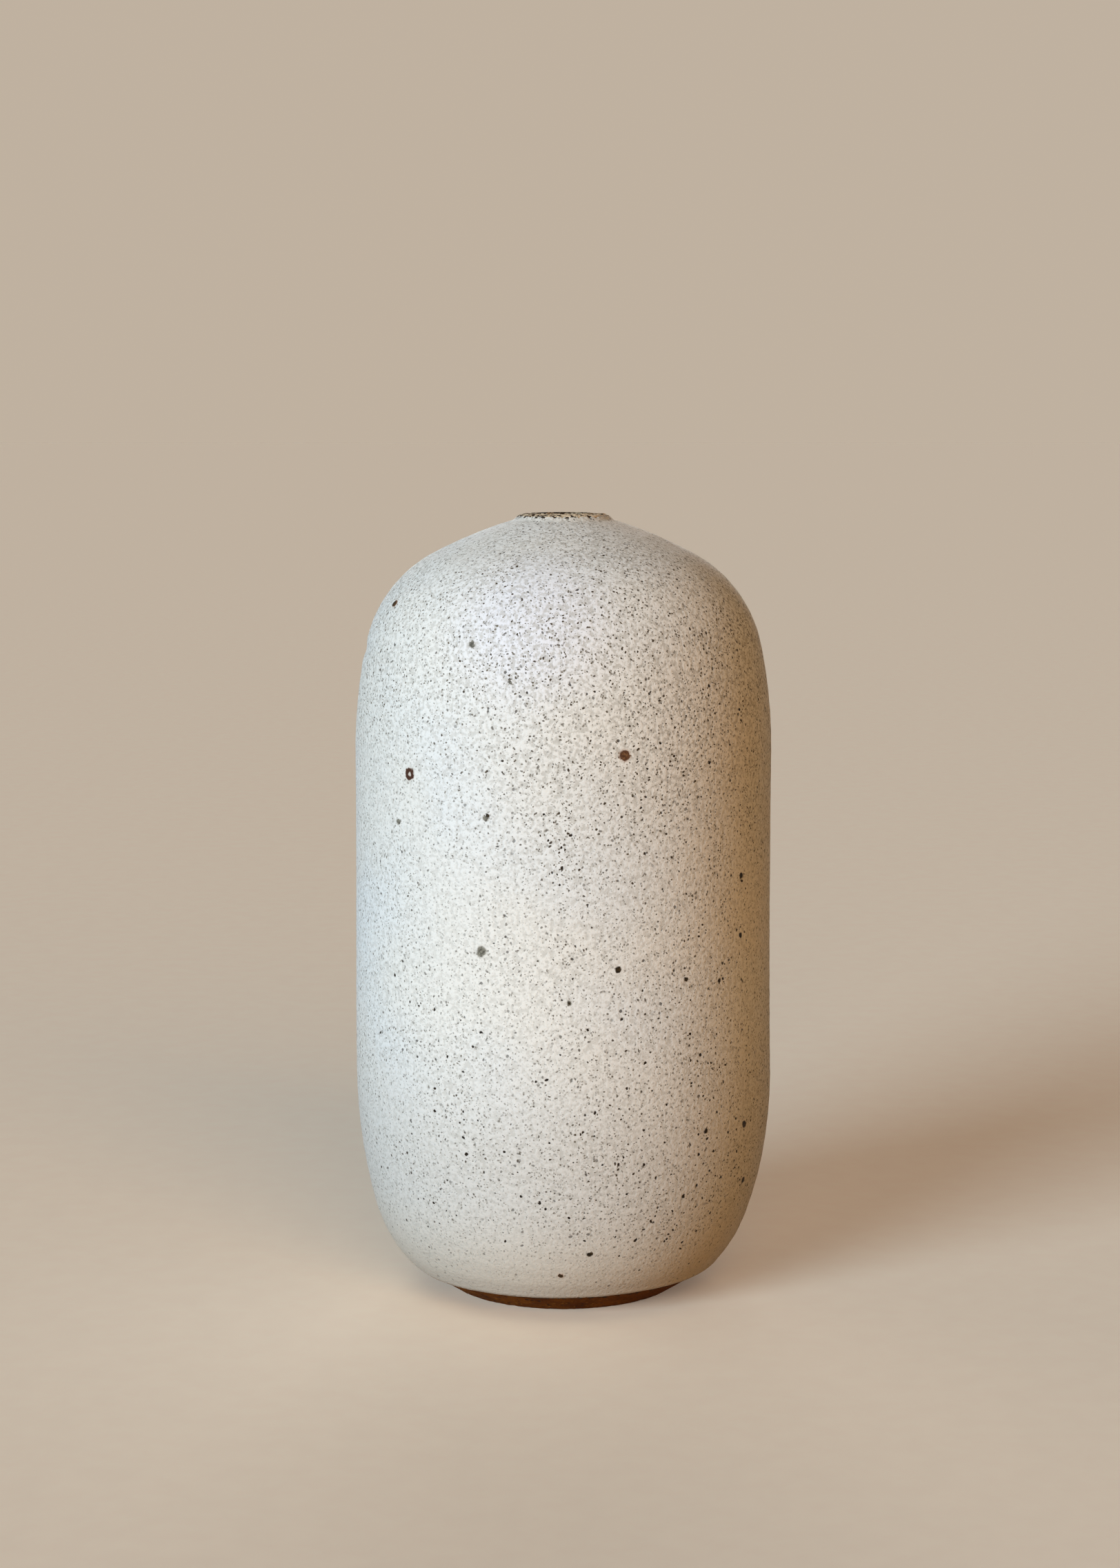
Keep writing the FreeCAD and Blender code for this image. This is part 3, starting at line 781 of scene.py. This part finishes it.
def paint_liner():
    """Plain off-white coat with sparse specks."""
    paint = Paint("plain_coat")
    colour = paint.mix(paint.fade(paint.noise(12.0, 3.0), 0.3, 0.7), *LINER_COAT)
    sparse = paint.specks(paint.shaken(0.9, 0.22), 1.9, 0.45)
    colour = paint.mix(paint.times(sparse, 0.7), colour, LINER_SPECK)
    return paint.finish(colour, roughness=0.35, height=paint.noise(3.0), depth=0.08)


# ---------------------------------------------------------------- the three pieces
glaze_coat = make_glaze()
clay_body = make_clay()
liner_coat = make_liner()
for piece, node, slot, paint in (
        (glaze_coat, "outer_glaze", "speckled_glaze", paint_glaze),
        (clay_body, "stoneware_body", "bare_stoneware", paint_clay),
        (liner_coat, "liner_glaze", "liner_glaze", paint_liner)):
    piece.data.materials.append(paint())
    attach(piece, "root")
    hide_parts(node)


# ---------------------------------------------------------------- floor, light and camera
FLOOR_HALF = 40.0                           # metres
FLOOR_SEEN = (0.98, 0.86, 0.72)
FLOOR_GRAIN = 0.96                          # its darker parts beside its lighter ones
FLOOR_GLOW = (0.10, 0.09, 0.08)             # only for the camera, so the floor looks pale
FLOOR_BOUNCE = (0.32, 0.17, 0.06)           # dimmer, so the underside of the vase stays in shade
BACKDROP = (0.524, 0.4405, 0.3513)          # what the floor comes to under the lamps
BACKDROP_LIGHT = 0.10                       # how much of it lights the vase

# Lamps: azimuth from the front to the right, elevation and width, in degrees, then strength and
# colour; at strength 1 a white surface that faces the lamp is white
SUNS = {
    "key": (-41, 14, 30, 1.08, (0.67, 0.87, 1.0)),
    "fill": (14, 20, 50, 0.42, (1.0, 0.57, 0.23)),
    "side": (-110, 20, 50, 0.05, (1.0, 0.55, 0.20)),
    "back": (180, 10, 30, 0.30, (1.0, 0.99, 0.97)),
}

LENS = 66.98                                # millimetres
CAMERA_AT = (-0.00078, -0.6255, 0.1853)     # metres
CAMERA_TILT = math.radians(83.07)           # 90 degrees looks straight ahead


def straight_to_camera(tree):
    """1 for what the camera sees, directly or in a gloss, and 0 for light on its way to the vase."""
    path = tree.nodes.new("ShaderNodeLightPath")
    either = tree.nodes.new("ShaderNodeMath")
    either.operation = "MAXIMUM"
    tree.links.new(path.outputs["Is Camera Ray"], either.inputs[0])
    tree.links.new(path.outputs["Is Glossy Ray"], either.inputs[1])
    return either.outputs[0]


def make_floor():
    half = FLOOR_HALF
    mesh = bpy.data.meshes.new("floor")
    mesh.from_pydata([(-half, -half, 0), (half, -half, 0), (half, half, 0), (-half, half, 0)],
                     [], [(0, 1, 2, 3)])
    floor = bpy.data.objects.new("floor", mesh)
    bpy.context.scene.collection.objects.link(floor)
    paint = Paint("floor_paper")
    grain = paint.fade(paint.noise(7.0, 5.0, 0.6), 0.25, 0.75)
    seen = paint.mix(grain, FLOOR_SEEN, tuple(FLOOR_GRAIN * part for part in FLOOR_SEEN))
    seen_by_camera = straight_to_camera(paint.tree)
    colour = paint.mix(seen_by_camera, FLOOR_BOUNCE, seen)
    paint.shader.inputs["Specular IOR Level"].default_value = 0.0
    paint.shader.inputs["Emission Color"].default_value = (*FLOOR_GLOW, 1.0)
    paint.feed(paint.shader.inputs["Emission Strength"], seen_by_camera)
    mesh.materials.append(paint.finish(colour, roughness=0.95))


def add_sun(name, azimuth, elevation, width, strength, colour):
    """A soft light from far away."""
    lamp = bpy.data.lights.new(name, "SUN")
    lamp.angle = math.radians(width)
    lamp.energy = math.pi * strength
    lamp.color = colour
    sun = bpy.data.objects.new(name, lamp)
    bpy.context.scene.collection.objects.link(sun)
    side, up = math.radians(azimuth), math.radians(elevation)
    toward_sun = Vector((math.cos(up) * math.sin(side), -math.cos(up) * math.cos(side), math.sin(up)))
    sun.location = toward_sun
    sun.rotation_euler = toward_sun.to_track_quat("Z", "Y").to_euler()


def make_backdrop():
    """The plain wall far away, which the camera sees and which lights the vase only weakly."""
    world = bpy.data.worlds.new("room")
    bpy.context.scene.world = world
    world.use_nodes = True
    tree = world.node_tree
    back = tree.nodes["Background"]
    back.inputs["Color"].default_value = (*BACKDROP, 1.0)
    dim = tree.nodes.new("ShaderNodeMapRange")
    dim.inputs["To Min"].default_value = BACKDROP_LIGHT
    tree.links.new(straight_to_camera(tree), dim.inputs["Value"])
    tree.links.new(dim.outputs[0], back.inputs["Strength"])


def add_camera():
    lens = bpy.data.cameras.new("camera")
    lens.lens = LENS
    camera = bpy.data.objects.new("camera", lens)
    bpy.context.scene.collection.objects.link(camera)
    camera.location = CAMERA_AT
    camera.rotation_euler = (CAMERA_TILT, 0, 0)
    bpy.context.scene.camera = camera


make_floor()
make_backdrop()
for name, settings in SUNS.items():
    add_sun(name, *settings)
add_camera()
bpy.context.scene.view_settings.view_transform = "Standard"
